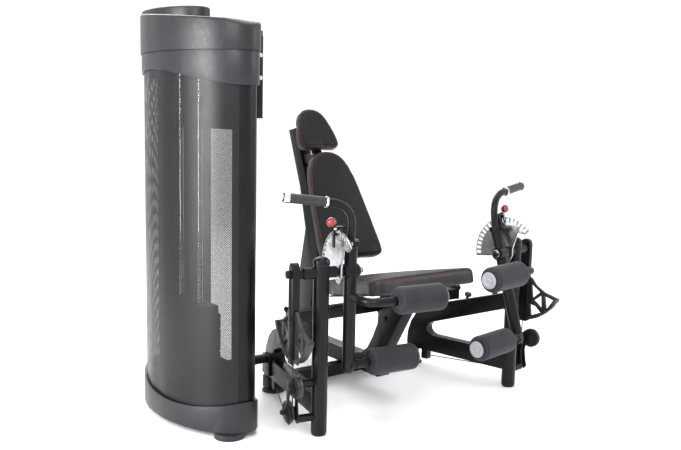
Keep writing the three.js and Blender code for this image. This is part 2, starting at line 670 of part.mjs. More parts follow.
const baseScoop = sweepBlade([
  [0, 150], [100, 140], [160, 122], [260, 106], [360, 101], [480, 104], [600, 114], [720, 130], [830, 142], [960, 150],
  [960, 400], [0, 400],
]);
const baseSkirt = cut(towerRing(2, 11.5, [BASE_FLOOR_Z, 160]), baseScoop);
add(
  "tower_base",
  join(
    baseSkirt,
    towerPrism(10, [BASE_FLOOR_Z, BASE_FLOOR_Z + 8]),
    rod(58, vec(-800, 165, 0), vec(-800, 165, BASE_FLOOR_Z + 1), 24),
    rod(40, vec(-800, 800, 0), vec(-800, 800, BASE_FLOOR_Z + 1)),
    box([-668.4, -657], [455, 575], [BASE_FLOOR_Z, 178]),
  ),
  "grey_cover",
);

const SHROUD_INSET = 13;
const accessWindow = box([-720, -600], [390, 570], [200, 1120]);
add(
  "tower_shroud",
  cut(towerRing(SHROUD_INSET, SHROUD_INSET + 4, [BASE_FLOOR_Z + 8 + GAP, SHROUD_TOP]), accessWindow),
  "mesh_sheet",
);

const bandSweep = sweepBlade([
  [0, 1276], [130, 1280], [210, 1294], [300, 1314], [400, 1330], [520, 1338], [640, 1334], [760, 1322], [900, 1312],
  [960, 1312], [960, 1000], [0, 1000],
]);
add("tower_band", cut(towerRing(4, SHROUD_INSET - GAP, [1240, CAP_BOTTOM - GAP]), bandSweep), "grey_cover");

// The cap's top climbs towards the back: [y, z].
const CAP_TOP = [[100, 1484], [160, 1506], [960, 1579]];
function capTop(y) {
  const i = y < CAP_TOP[1][0] ? 0 : 1;
  const [[y0, z0], [y1, z1]] = CAP_TOP.slice(i, i + 2);
  return z0 + ((z1 - z0) * (y - y0)) / (y1 - y0);
}
const CAP_WALL = 9;
// A domed body over the tower's plan: each ring is [inset, height at y].
const domed = (rings, plan = towerOutline) =>
  solid(new ConvexGeometry(rings.flatMap(([inset, height]) => plan(inset).map(([x, y]) => vec(x, y, height(y))))));
const roundedEdge = (inset, top, bottom) => [
  [inset, () => bottom], [inset, (y) => top(y) - 10], [inset + 3, (y) => top(y) - 3], [inset + 10, top],
];
const capOuter = domed(roundedEdge(0, capTop, CAP_BOTTOM));
const capHollow = domed(roundedEdge(CAP_WALL, (y) => capTop(y) - CAP_WALL, CAP_BOTTOM - 1));

// The raised tier repeats the plan at a smaller scale, drawn towards the outer rear corner.
const TIER_SCALE = 0.6;
const TIER_CORNER = [-860, 780];
const TIER_TOP = 1568;
const tierPlan = (inset) =>
  towerOutline(inset).map((point) => point.map((value, i) => TIER_CORNER[i] + TIER_SCALE * (value - TIER_CORNER[i])));
const tier = domed(roundedEdge(1, () => TIER_TOP, CAP_BOTTOM + 60), tierPlan);

const innerCover = box([-672, -642], [215, 745], [CAP_BOTTOM, 1480]);
add("tower_cap", cut(join(capOuter, tier, innerCover), capHollow), "grey_cover");

add("tower_edge_strap", box([-666, -643], [208.7, 214.7], [1165, 1462]), "black_paint");

// The tube that ties the tower to the right side frame, drawn in that frame's own directions.
const besideRight = sidePlacement(-1);
const tieEnd = vec(TOWER_INNER_X - 1 + GAP, 512, 150).applyMatrix4(besideRight.clone().invert());
const tieRun = vec(1, 0, 0).transformDirection(besideRight.clone().invert());
const tieTube = rod(20, tieEnd, tieEnd.clone().addScaledVector(tieRun, 220));
const tiePlate = box([-35 - GAP, -25 - GAP], [-548, -468], [-530, -446]);
const beyondPlate = box([-25 - GAP, 60], [-620, -400], [-560, -380]);
add("tower_tie", cut(join(tieTube, tiePlate), beyondPlate), "black_paint", besideRight);

// ---------------------------------------------------------------- weight stack
const STACK_X = [-862, -742];
const STACK_Y = [345, 615];
const PLATE_PITCH = 30;
const RESTING_PLATES = 8;
const PICKED_PLATES = 4;
const STACK_BOTTOM = 62;
const ROD_RADIUS = 10;
const RODS_Y = [400, 560];
const LIFT_ROD_TOP = 1050;
const [STACK_MID_X, STACK_MID_Y] = [(STACK_X[0] + STACK_X[1]) / 2, (STACK_Y[0] + STACK_Y[1]) / 2];
const stackUpright = (radius, y, z0, z1, sides) => rod(radius, vec(STACK_MID_X, y, z0), vec(STACK_MID_X, y, z1), sides);

// Stacked plates as one comb-edged block: [x, z] outline with a groove between plates.
function plates(bottom, count) {
  const right = [];
  const left = [];
  for (let i = 0; i < count; i++) {
    const low = bottom + i * PLATE_PITCH;
    const high = low + PLATE_PITCH - 3;
    right.push([STACK_X[1], low], [STACK_X[1], high]);
    left.push([STACK_X[0], low], [STACK_X[0], high]);
    if (i < count - 1) {
      right.push([STACK_X[1] - 6, high], [STACK_X[1] - 6, high + 3]);
      left.push([STACK_X[0] + 6, high], [STACK_X[0] + 6, high + 3]);
    }
  }
  const block = slabY([...right, ...left.reverse()], STACK_Y);
  const top = bottom + count * PLATE_PITCH;
  const bores = RODS_Y.map((y) => stackUpright(ROD_RADIUS + GAP, y, bottom - 5, top + 5));
  return cut(block, ...bores);
}
const restingTop = STACK_BOTTOM + RESTING_PLATES * PLATE_PITCH - 3;
const pickedBottom = restingTop + GAP;
const pickedTop = pickedBottom + PICKED_PLATES * PLATE_PITCH - 3;
const PIN_Z = pickedBottom + 13;
const pinRun = (radius, x0, x1, sides) =>
  rod(radius, vec(x0, STACK_MID_Y, PIN_Z), vec(x1, STACK_MID_Y, PIN_Z), sides);
const selectorBore = pinRun(5.3, STACK_MID_X + 20, STACK_X[1] + 42, SMALL_ROUND);
const CUSHION_BOTTOM = BASE_FLOOR_Z + 8 + 2 * GAP;
const CUSHION_HEIGHT = STACK_BOTTOM - CUSHION_BOTTOM + 2;
const cushions = RODS_Y.map((y) => {
  const bore = ROD_RADIUS + GAP;
  const profile = [[bore, 0], [26, 0], [26, CUSHION_HEIGHT], [bore, CUSHION_HEIGHT], [bore, 0]];
  return turned(profile, vec(STACK_MID_X, y, CUSHION_BOTTOM), vec(0, 0, 1));
});
add("resting_weight_plates", join(plates(STACK_BOTTOM, RESTING_PLATES), ...cushions), "cast_plate");
const headBlock = cut(
  box([STACK_X[0] + 10, STACK_X[1] - 10], STACK_Y, [pickedTop - 1, pickedTop + 34]),
  ...RODS_Y.map((y) => stackUpright(ROD_RADIUS + GAP, y, pickedTop - 5, pickedTop + 40)),
);
const liftRod = stackUpright(3, STACK_MID_Y, pickedTop + 30, LIFT_ROD_TOP, 8);
add(
  "picked_weight_plates",
  cut(join(plates(pickedBottom, PICKED_PLATES), headBlock, liftRod), selectorBore),
  "cast_plate",
);
const pinHandle = turned(
  [[0, 0], [10, 0], [13, 5], [13, 20], [10, 26], [0, 26]],
  vec(STACK_X[1] + GAP + 1, STACK_MID_Y, PIN_Z), vec(1, 0, 0), 16,
);
add(
  "selector_pin",
  join(pinRun(5, STACK_MID_X + 21, STACK_X[1] + 14, SMALL_ROUND), pinHandle),
  "black_plastic",
);
const GUIDE_ROD_TOP = 1452;
for (const [y, label] of [[RODS_Y[0], "front"], [RODS_Y[1], "rear"]])
  add(`${label}_guide_rod`, stackUpright(ROD_RADIUS, y, BASE_FLOOR_Z + 8 + GAP, GUIDE_ROD_TOP, 16), "chrome");
add(
  "stack_cable",
  cut(
    stackUpright(5, STACK_MID_Y, LIFT_ROD_TOP - 8, GUIDE_ROD_TOP + 3, 10),
    stackUpright(3.3, STACK_MID_Y, LIFT_ROD_TOP - 20, GUIDE_ROD_TOP - 6, 8),
  ),
  "rubber",
);

// ---------------------------------------------------------------- origin on the floor under the middle
const bounds = new THREE.Box3().setFromObject(machine);
const middle = bounds.getCenter(vec(0, 0, 0));
for (const mesh of machine.children) mesh.geometry.translate(-middle.x, -middle.y, -bounds.min.z);

export default machine;
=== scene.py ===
"""Looks of the leg extension machine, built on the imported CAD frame. Lengths are in millimetres."""
import json
import math

import bmesh
import bpy
from mathutils import Matrix, Vector, kdtree
from mathutils.bvhtree import BVHTree


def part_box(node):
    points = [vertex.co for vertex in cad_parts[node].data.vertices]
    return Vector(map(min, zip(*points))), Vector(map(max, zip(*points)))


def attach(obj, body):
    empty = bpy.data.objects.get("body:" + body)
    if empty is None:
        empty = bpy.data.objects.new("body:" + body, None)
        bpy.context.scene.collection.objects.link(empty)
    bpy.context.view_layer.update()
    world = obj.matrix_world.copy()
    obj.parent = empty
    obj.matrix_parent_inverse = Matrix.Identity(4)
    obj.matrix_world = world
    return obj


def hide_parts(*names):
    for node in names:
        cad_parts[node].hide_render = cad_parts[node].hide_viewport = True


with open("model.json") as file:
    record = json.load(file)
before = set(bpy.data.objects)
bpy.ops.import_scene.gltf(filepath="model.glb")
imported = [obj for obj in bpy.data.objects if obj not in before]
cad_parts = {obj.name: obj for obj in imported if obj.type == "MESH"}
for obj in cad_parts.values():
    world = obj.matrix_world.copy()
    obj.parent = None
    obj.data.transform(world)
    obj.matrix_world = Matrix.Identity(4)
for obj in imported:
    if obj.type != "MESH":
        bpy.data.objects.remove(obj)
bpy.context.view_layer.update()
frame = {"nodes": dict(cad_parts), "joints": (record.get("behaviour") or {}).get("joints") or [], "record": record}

MM = 0.001
SIDES = ("right", "left")

# Driving dimensions in millimetres. Each side is drawn from its own pivot: inward, forward, up.
LEFT_ARM_SWING = math.radians(16)
ROLLER_YAW = math.radians(5)
ARM_INSET = 116
ARM_DROP = 392
COLLAR_TOP = 117
UPPER_AXLE = {"reach": 155, "drop": 92, "roller_start": 233}
LOWER_AXLE = {"reach": 12, "drop": 357, "roller_start": 200}
ROLLER_RADIUS = 51
ROLLER_LENGTH = 208
PIVOT_HEIGHT = 614
POST_RADIUS = 30
ARM_RADIUS = 24
SHAFT_BORE = 13.3
AXLE_RADIUS = 16
CAM_PLANE = -105.5
PULLEY_BORE = 6.3
PULLEYS = {"guide": (45, -405, "upper_pulley"), "low": (-43, -527, "bottom_pulley")}

# The seat's top face, about the middle of the posts' feet.
SEAT_SLOPE = 0.2
SEAT_FRONT_Y = -30
SEAT_FRONT_Z = 570
SEAT_BACK_Y = 485
SEAT_THICKNESS = 68


# ------------------------------------------------------------------ places
def pivot(side):
    joint = next(j for j in frame["joints"] if j["name"] == f"{side}_leg_swing")
    return Vector(joint["pos_m"]), Vector(joint["axis"])


RIGHT_PIVOT, RIGHT_AXIS = pivot("right")
LEFT_PIVOT, LEFT_AXIS = pivot("left")
MIDDLE = (RIGHT_PIVOT + LEFT_PIVOT) / 2
MIDDLE.z = 0
CENTRE = Matrix.Translation(MIDDLE) @ Matrix.Scale(MM, 4)  # from millimetres about the posts' midpoint


def side_place(side):
    """From a side's own directions (inward, forward, up, in mm from its pivot) to the row frame."""
    origin = RIGHT_PIVOT if side == "right" else LEFT_PIVOT
    inward = -RIGHT_AXIS if side == "right" else LEFT_AXIS.copy()
    up = Vector((0, 0, 1))
    forward = inward.cross(up) if side == "right" else up.cross(inward)
    place = Matrix((inward, forward, up)).transposed().to_4x4()
    return Matrix.Translation(origin) @ place @ Matrix.Scale(MM, 4)


def arm_place(side):
    swing = LEFT_ARM_SWING if side == "left" else 0.0
    return side_place(side) @ Matrix.Rotation(swing, 4, "X")


def aim(start, direction):
    """A frame at start whose +Z runs along direction."""
    turn = Vector((0, 0, 1)).rotation_difference(Vector(direction).normalized())
    return Matrix.Translation(Vector(start)) @ turn.to_matrix().to_4x4()


# ------------------------------------------------------------------ materials
class Nodes:
    """A short way to write a shader's node tree."""

    def __init__(self, name):
        self.material = bpy.data.materials.new(name)
        self.material.use_nodes = True
        self.tree = self.material.node_tree
        self.shader = self.tree.nodes["Principled BSDF"]
        self.object_space = self.tree.nodes.new("ShaderNodeTexCoord").outputs["Object"]

    def add(self, kind, inputs=None, **settings):
        node = self.tree.nodes.new(kind)
        for key, value in settings.items():
            setattr(node, key, value)
        for key, value in (inputs or {}).items():
            if isinstance(value, bpy.types.NodeSocket):
                self.tree.links.new(value, node.inputs[key])
            else:
                node.inputs[key].default_value = value
        return node

    def noise(self, scale, detail=3.0, rough=0.55, space=None):
        where = space or self.object_space
        inputs = {"Vector": where, "Scale": scale, "Detail": detail, "Roughness": rough}
        return self.add("ShaderNodeTexNoise", inputs).outputs["Fac"]

    def spread(self, value, low, high, start=0.3, end=0.7):
        inputs = {"Value": value, "From Min": start, "From Max": end, "To Min": low, "To Max": high}
        return self.add("ShaderNodeMapRange", inputs).outputs["Result"]

    def blend(self, amount, dark, light):
        node = self.add("ShaderNodeMix", {"Factor": amount}, data_type="RGBA")
        node.inputs[6].default_value = (*dark, 1)
        node.inputs[7].default_value = (*light, 1)
        return node.outputs[2]

    def math(self, operation, first, second=0.0):
        return self.add("ShaderNodeMath", {0: first, 1: second}, operation=operation).outputs[0]

    def bump(self, height, strength, distance):
        inputs = {"Height": height, "Strength": strength, "Distance": distance}
        normal = self.add("ShaderNodeBump", inputs).outputs["Normal"]
        self.tree.links.new(normal, self.shader.inputs["Normal"])

    def link(self, socket, output):
        self.tree.links.new(output, self.shader.inputs[socket])

    def mottle(self, scale, detail, dark, light):
        """Base colour drifting between two tones."""
        self.link("Base Color", self.blend(self.spread(self.noise(scale, detail), 0, 1), dark, light))

    def set(self, **values):
        for key, value in values.items():
            self.shader.inputs[key.replace("_", " ")].default_value = value


def powder_coat():
    """Satin black powder coat: orange peel, cloudy sheen and rubbed patches."""
    n = Nodes("powder_coat")
    n.mottle(9, 4, (0.0030, 0.0032, 0.0036), (0.0062, 0.0065, 0.0072))
    n.link("Roughness", n.spread(n.noise(26, 5), 0.27, 0.42))
    n.set(Specular_IOR_Level=0.18, Coat_Weight=0.03, Coat_Roughness=0.15)
    n.bump(n.noise(620, 2), 0.22, 0.0004)
    return n.material


def moulded_cover():
    """Dark grey moulded covers of the tower, with a fine spark texture."""
    n = Nodes("moulded_cover")
    n.mottle(5, 3, (0.010, 0.0105, 0.0125), (0.016, 0.0168, 0.020))
    n.link("Roughness", n.spread(n.noise(60, 4), 0.33, 0.45))
    n.set(Specular_IOR_Level=0.5, Metallic=0.25)
    n.bump(n.noise(1400, 2), 0.35, 0.0003)
    return n.material


def perforated_sheet():
    """Black sheet with staggered round holes, drawn in the sheet's own unrolled lengths."""
    n = Nodes("perforated_sheet")
    pitch = 0.0062
    hole = 0.18  # radius as a share of the pitch
    uv = n.add("ShaderNodeUVMap", uv_map="unrolled").outputs["UV"]
    parts = n.add("ShaderNodeSeparateXYZ", {0: uv})
    distances = []
    for offset in (0.0, 0.5):
        legs = []
        for axis in ("X", "Y"):
            cells = n.math("ADD", n.math("DIVIDE", parts.outputs[axis], pitch), offset)
            legs.append(n.math("POWER", n.math("SUBTRACT", n.math("FRACT", cells), 0.5), 2.0))
        distances.append(n.math("SQRT", n.math("ADD", legs[0], legs[1])))
    nearest = n.math("MINIMUM", distances[0], distances[1])
    n.link("Alpha", n.math("GREATER_THAN", nearest, hole))
    n.mottle(6, 3, (0.004, 0.0042, 0.005), (0.008, 0.0084, 0.0098))
    n.link("Roughness", n.spread(n.noise(30, 3), 0.28, 0.4))
    n.set(Metallic=0.3)
    n.bump(n.spread(nearest, 0, 1, hole, hole + 0.12), 0.3, 0.0004)
    return n.material


def zinc_plate():
    """Bright zinc plating: soft blotches and fine drawn lines."""
    n = Nodes("zinc_plate")
    lines = n.add("ShaderNodeMapping", {"Vector": n.object_space, "Scale": (30, 30, 900)}).outputs["Vector"]
    n.mottle(45, 4, (0.40, 0.41, 0.42), (0.62, 0.63, 0.64))
    n.link("Roughness", n.spread(n.noise(3, 3, space=lines), 0.2, 0.4))
    n.set(Metallic=1.0)
    n.bump(n.noise(3, 2, space=lines), 0.08, 0.0003)
    return n.material


def chrome():
    n = Nodes("polished_chrome")
    n.link("Roughness", n.spread(n.noise(120, 4), 0.05, 0.14))
    n.mottle(20, 3, (0.70, 0.71, 0.73), (0.82, 0.83, 0.84))
    n.set(Metallic=1.0)
    n.bump(n.noise(300, 2), 0.02, 0.0002)
    return n.material


def cast_plate():
    """Painted cast iron: pitted, slightly uneven."""
    n = Nodes("cast_weight_plate")
    pits = n.noise(260, 6, 0.7)
    n.link("Base Color", n.blend(n.spread(pits, 0, 1), (0.008, 0.008, 0.009), (0.022, 0.022, 0.024)))
    n.link("Roughness", n.spread(pits, 0.45, 0.7))
    n.set(Metallic=0.2)
    n.bump(pits, 0.5, 0.0008)
    return n.material


def upholstery_vinyl():
    """Black upholstery vinyl: pebbled grain and soft creases, with no sheen."""
    n = Nodes("upholstery_vinyl")
    grain = n.add("ShaderNodeTexVoronoi", {"Vector": n.object_space, "Scale": 620.0}, feature="SMOOTH_F1")
    creases = n.noise(38, 6, 0.6)
    n.mottle(7, 4, (0.0030, 0.0030, 0.0034), (0.0060, 0.0059, 0.0063))
    n.link("Roughness", n.spread(creases, 0.42, 0.6))
    n.set(Specular_IOR_Level=0.2, Sheen_Weight=0.0, Sheen_Roughness=0.4)
    height = n.math("ADD", grain.outputs["Distance"], n.math("MULTIPLY", creases, 1.6))
    n.bump(height, 0.3, 0.0005)
    return n.material


def painted_side_shade_vinyl():
    """The brown-grey tone round the pads' edges: painted shading, colouring the sides for how the light falls on
    them.
    """
    n = Nodes("painted_side_shade_vinyl")
    grain = n.add("ShaderNodeTexVoronoi", {"Vector": n.object_space, "Scale": 540.0}, feature="SMOOTH_F1")
    # painted shading: the pads' sides are tinted brown-grey for the light falling on them
    n.mottle(11, 4, (0.0065, 0.0050, 0.0050), (0.012, 0.0095, 0.0092))
    n.link("Roughness", n.spread(n.noise(30, 4), 0.4, 0.55))
    n.bump(grain.outputs["Distance"], 0.3, 0.0005)
    return n.material


def roller_foam():
    """Slate charcoal foam sleeve with a skinned, faintly streaked surface."""
    n = Nodes("roller_foam")
    speckle = n.noise(900, 3, 0.6)
    n.mottle(14, 5, (0.0085, 0.0098, 0.0122), (0.017, 0.019, 0.023))
    n.link("Roughness", n.spread(speckle, 0.52, 0.72))
    n.set(Specular_IOR_Level=0.25, Sheen_Weight=0.06, Sheen_Roughness=0.5)
    n.bump(n.math("ADD", speckle, n.math("MULTIPLY", n.noise(60, 4), 0.8)), 0.35, 0.0006)
    return n.material


def rubber(name, dark, light, low, high):
    n = Nodes(name)
    n.mottle(30, 4, dark, light)
    n.link("Roughness", n.spread(n.noise(200, 3), low, high))
    n.bump(n.noise(800, 2), 0.3, 0.0003)
    return n.material


def red_ball():
    n = Nodes("red_ball")
    n.mottle(40, 3, (0.20, 0.003, 0.006), (0.28, 0.006, 0.010))
    n.link("Roughness", n.spread(n.noise(90, 3), 0.08, 0.16))
    n.set(Coat_Weight=0.6, Coat_Roughness=0.05)
    n.bump(n.noise(150, 2), 0.03, 0.0003)
    return n.material


def red_thread():
    n = Nodes("red_thread")
    twist = n.add("ShaderNodeTexWave", {"Vector": n.object_space, "Scale": 700.0, "Distortion": 2.0})
    n.link("Base Color", n.blend(twist.outputs["Fac"], (0.10, 0.006, 0.009), (0.26, 0.014, 0.020)))
    n.link("Roughness", n.spread(n.noise(500, 2), 0.6, 0.8))
    n.bump(twist.outputs["Fac"], 0.5, 0.0003)
    return n.material


def coated_cable():
    """Black nylon over a twisted steel cable: the strands show faintly through."""
    n = Nodes("coated_cable")
    lay = {"Vector": n.object_space, "Scale": 220.0}
    strands = n.add("ShaderNodeTexWave", lay, bands_direction="DIAGONAL")
    n.link("Base Color", n.blend(strands.outputs["Fac"], (0.010, 0.010, 0.011), (0.022, 0.022, 0.024)))
    n.link("Roughness", n.spread(n.noise(100, 3), 0.3, 0.45))
    n.bump(strands.outputs["Fac"], 0.25, 0.0003)
    return n.material


def end_disc_plastic():
    n = Nodes("end_disc_plastic")
    n.mottle(30, 4, (0.20, 0.20, 0.23), (0.30, 0.30, 0.33))
    n.link("Roughness", n.spread(n.noise(120, 4), 0.3, 0.5))
    n.bump(n.noise(500, 2), 0.15, 0.0003)
    return n.material


M = {
    "black_paint": powder_coat(),
    "grey_cover": moulded_cover(),
    "mesh_sheet": perforated_sheet(),
    "zinc": zinc_plate(),
    "chrome": chrome(),
    "cast_plate": cast_plate(),
    "vinyl": upholstery_vinyl(),
    # the pads' sides: painted shading in a brown-grey tone
    "painted_side_shade": painted_side_shade_vinyl(),
    "foam": roller_foam(),
    "grip_rubber": rubber("grip_rubber", (0.010, 0.010, 0.011), (0.019, 0.019, 0.020), 0.4, 0.55),
    "foot_rubber": rubber("foot_rubber", (0.008, 0.008, 0.008), (0.018, 0.018, 0.018), 0.6, 0.8),
    "black_plastic": rubber("black_plastic", (0.008, 0.008, 0.009), (0.016, 0.016, 0.018), 0.3, 0.45),
    "red_ball": red_ball(),
    "red_thread": red_thread(),
    "cable": coated_cable(),
    "end_disc": end_disc_plastic(),
}
M["pin_handle"] = M["black_plastic"]


# ------------------------------------------------------------------ mesh building
def put(name, mesh, place, finish, body, stands_for=(), crease=math.radians(32)):
    """Makes a piece from a bmesh drawn in millimetres, dressed and riding on its body."""
    mesh.transform(place)
    if place.determinant() < 0:
        bmesh.ops.reverse_faces(mesh, faces=mesh.faces)
    data = bpy.data.meshes.new(name)
    mesh.to_mesh(data)
    mesh.free()
    data.shade_smooth()
    data.set_sharp_from_angle(angle=crease)
    piece = bpy.data.objects.new(name, data)
    bpy.context.scene.collection.objects.link(piece)
    data.materials.append(M[finish])
    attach(piece, body)
    if stands_for:
        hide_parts(*stands_for)
    return piece


def skin_rings(mesh, rings, closed_start=True, closed_end=True):
    """Joins rings of equal point counts into a tube."""
    loops = [[mesh.verts.new(point) for point in ring] for ring in rings]
    for low, high in zip(loops, loops[1:]):
        count = len(low)
        for i in range(count):
            mesh.faces.new((low[i], low[(i + 1) % count], high[(i + 1) % count], high[i]))
    if closed_start:
        mesh.faces.new(list(reversed(loops[0])))
    if closed_end:
        mesh.faces.new(loops[-1])
    return mesh


def eased(profile, radius=1.2):
    """The profile with each inner corner cut by a small chamfer, so that edges catch light."""
    points = [Vector(p) for p in profile]
    out = [points[0]]
    for before, corner, after in zip(points, points[1:], points[2:]):
        reach = min(radius, (corner - before).length * 0.45, (after - corner).length * 0.45)
        out.append(corner + (before - corner).normalized() * reach)
        out.append(corner + (after - corner).normalized() * reach)
    return [*out, points[-1]]


def turned(profile, start, direction, sides=56, ease=1.2):
    """A lathe piece: profile points are (radius, distance along), with both ends on the axis."""
    place = aim(start, direction)
    mesh = bmesh.new()
    rings = []
    for radius, along in eased(profile, ease) if ease else [Vector(p) for p in profile]:
        turns = (2 * math.pi * i / sides for i in range(sides))
        rings.append([place @ Vector((radius * math.cos(a), radius * math.sin(a), along)) for a in turns])
    skin_rings(mesh, rings)
    bmesh.ops.remove_doubles(mesh, verts=mesh.verts, dist=0.01)
    bmesh.ops.recalc_face_normals(mesh, faces=mesh.faces)
    return mesh


def rod(radius, start, end, sides=40, ease=0.8):
    start, end = Vector(start), Vector(end)
    length = (end - start).length
    return turned([(0, 0), (radius, 0), (radius, length), (0, length)], start, end - start, sides, ease)


def hollow(bore, profile, start, direction, sides=56, ease=1.2):
    """A turned ring: the outer profile runs from one end of the bore to the other."""
    place = aim(start, direction)
    ends = [(bore, profile[0][1]), *profile, (bore, profile[-1][1])]
    outline = eased(ends, ease)
    mesh = bmesh.new()
    rings = []
    for radius, along in outline:
        turns = (2 * math.pi * i / sides for i in range(sides))
        rings.append([place @ Vector((radius * math.cos(a), radius * math.sin(a), along)) for a in turns])
    rings.append(list(rings[0]))
    skin_rings(mesh, rings, False, False)
    bmesh.ops.remove_doubles(mesh, verts=mesh.verts, dist=0.01)
    bmesh.ops.recalc_face_normals(mesh, faces=mesh.faces)
    return mesh


def route(corners, bend, steps=14):
    """Straight runs joined by rounded corners."""
    corners = [Vector(c) for c in corners]
    points = [corners[0]]
    for before, corner, after in zip(corners, corners[1:], corners[2:]):
        into = (corner - before).normalized()
        out = (after - corner).normalized()
        reach = bend * math.tan(into.angle(out) / 2)
        start, end = corner - into * reach, corner + out * reach
        for k in range(steps + 1):
            t = k / steps
            points.append((1 - t) ** 2 * start + 2 * t * (1 - t) * corner + t * t * end)
    return [*points, corners[-1]]


def tube(corners, radius, bend, sides=32, steps=14):
    points = route(corners, bend, steps)
    mesh = bmesh.new()
    rings = []
    normal = None
    for i, point in enumerate(points):
        ahead = points[min(i + 1, len(points) - 1)] - points[max(i - 1, 0)]
        along = ahead.normalized()
        normal = along.orthogonal() if normal is None else normal - along * normal.dot(along)
        normal.normalize()
        other = along.cross(normal)
        turns = (2 * math.pi * k / sides for k in range(sides))
        rings.append([point + (normal * math.cos(a) + other * math.sin(a)) * radius for a in turns])
    skin_rings(mesh, rings)
    bmesh.ops.recalc_face_normals(mesh, faces=mesh.faces)
    return mesh


def block(x_range, y_range, z_range, ease=1.5):
    mesh = bmesh.new()
    bmesh.ops.create_cube(mesh, size=1)
    for vert in mesh.verts:
        for k, (low, high) in enumerate((x_range, y_range, z_range)):
            vert.co[k] = high if vert.co[k] > 0 else low
    bmesh.ops.bevel(mesh, geom=mesh.edges[:], offset=ease, segments=3, affect="EDGES", profile=0.5)
    return mesh


def merged(*meshes):
    """Several drawn solids as one piece."""
    whole = bmesh.new()
    for mesh in meshes:
        data = bpy.data.meshes.new("part")
        mesh.to_mesh(data)
        whole.from_mesh(data)
        mesh.free()
        bpy.data.meshes.remove(data)
    return whole


def body_of(node):
    return next(name for name, nodes in frame["record"]["behaviour"]["bodies"].items() if node in nodes)


def slot_of(node):
    return next(s["material_slot"] for s in frame["record"]["subparts"] if s["node"] == node)


def eased_copy(node, width, segments=3, finish=None):
    """The CAD node's own shape with its edges rounded over, standing for the node."""
    mesh = bmesh.new()
    mesh.from_mesh(frame["nodes"][node].data)
    bmesh.ops.remove_doubles(mesh, verts=mesh.verts, dist=1e-5)
    bmesh.ops.dissolve_limit(mesh, angle_limit=math.radians(1), verts=mesh.verts, edges=mesh.edges)
    edges = [
        edge for edge in mesh.edges
        if len(edge.link_faces) == 2 and edge.calc_face_angle(0) > math.radians(38)
    ]
    bmesh.ops.bevel(
        mesh, geom=edges, offset=width * MM, segments=segments, profile=0.5,
        affect="EDGES", clamp_overlap=True,
    )
    finish = finish or slot_of(node)
    return put(f"{node}_finished", mesh, Matrix.Identity(4), finish, body_of(node), (node,))


# ------------------------------------------------------------------ fasteners
def hex_bolt(name, place, start, direction, body, across=17, head=7, finish="zinc"):
    """A hexagon head on a washer, standing on a surface at start."""
    radius = across / math.sqrt(3)
    washer = turned([(0, 0), (across * 0.72, 0), (across * 0.72, 1.8), (0, 1.8)], start, direction, 32, 0.5)
    top = [(0, 1.6), (radius, 1.6), (radius, head - 1.5), (radius * 0.86, head), (0, head)]
    return put(name, merged(washer, turned(top, start, direction, 6, 0.0)), place, finish, body)


def button_bolt(name, place, start, direction, body, radius=8, finish="zinc"):
    """A domed socket screw with its hexagon recess."""
    dome = [
        (0, radius * 0.35), (radius * 0.32, radius * 0.35), (radius * 0.36, radius * 0.62),
        (radius * 0.75, radius * 0.5), (radius, radius * 0.12), (radius, 0), (0, 0),
    ]
    return put(name, turned(dome, start, direction, 32, 0.4), place, finish, body)


# ------------------------------------------------------------------ the two sides
def along_roller(axle, inset):
    """A point on a roller's axle line, inset along the pivot line."""
    run = (inset - ARM_INSET) / math.cos(ROLLER_YAW)
    return Vector((ARM_INSET, axle["reach"], -axle["drop"])) + ROLLER_LINE * run


ROLLER_LINE = Vector((math.cos(ROLLER_YAW), -math.sin(ROLLER_YAW), 0))
HANDLE_CORNERS = ((ARM_INSET, 0, 62), (ARM_INSET, 0, 128), (ARM_INSET, 20, 247), (-152, 14, 279))
HANDLE = [Vector(corner) for corner in HANDLE_CORNERS]
HANDLE_RADIUS = 14.5
HANDLE_BEND = 100
GRIP_INSET = 12
GRIP_LENGTH = 163
LEVER_TOP = Vector((46.5, 0, 168))
BALL_CENTRE = Vector((31, 12, 185))
BALL_RADIUS = 17.5


def build_post(side):
    place = side_place(side)
    floor = -PIVOT_HEIGHT
    dome = [(31.5 * math.cos(a), 38 + 22 * math.sin(a)) for a in (math.radians(9 * k) for k in range(10))]
    foot = [(0, floor), (25, floor), (28.5, floor + 5), (POST_RADIUS, floor + 14)]
    profile = [*foot, (POST_RADIUS, 31), (31.5, 31), *dome, (0, 60)]
    column = turned(profile, (0, 0, 0), (0, 0, 1), 64, 0.4)
    housing = hollow(SHAFT_BORE, [(23, -74), (23, -68), (21.5, -68), (21.5, 58)], (0, 0, 0), (1, 0, 0))
    put(f"{side}_post_finished", merged(column, housing), place, "black_paint", "frame", (f"{side}_post",))
    seam = hollow(29.6, [(30.4, 28.6), (30.4, 30.6)], (0, 0, 0), (0, 0, 1), 64, 0.2)
    put(f"{side}_post_cap_joint", seam, place, "grip_rubber", "frame")


def build_drive(side):
    place = side_place(side)
    body = f"{side}_drive"
    eased_copy(f"{side}_drive_shaft", 0.8, 2)
    eased_copy(f"{side}_drive_lever", 3.0)
    eased_copy(f"{side}_cable_cam", 1.2, 2, "black_plastic")
    eased_copy(f"{side}_range_plate", 0.7, 2)
    ring = hollow(10, [(17, 0), (17, 3.5)], (152, 0, 0), (1, 0, 0), 48, 0.8)
    put(f"{side}_shaft_ring", ring, place, "chrome", body)
    for k, (forward, up) in enumerate(((0, -165), (0, -285))):
        spot = (-118.2, forward, up)
        button_bolt(f"{side}_cam_bolt_{k}", place, spot, (-1, 0, 0), body, 8, "black_paint")


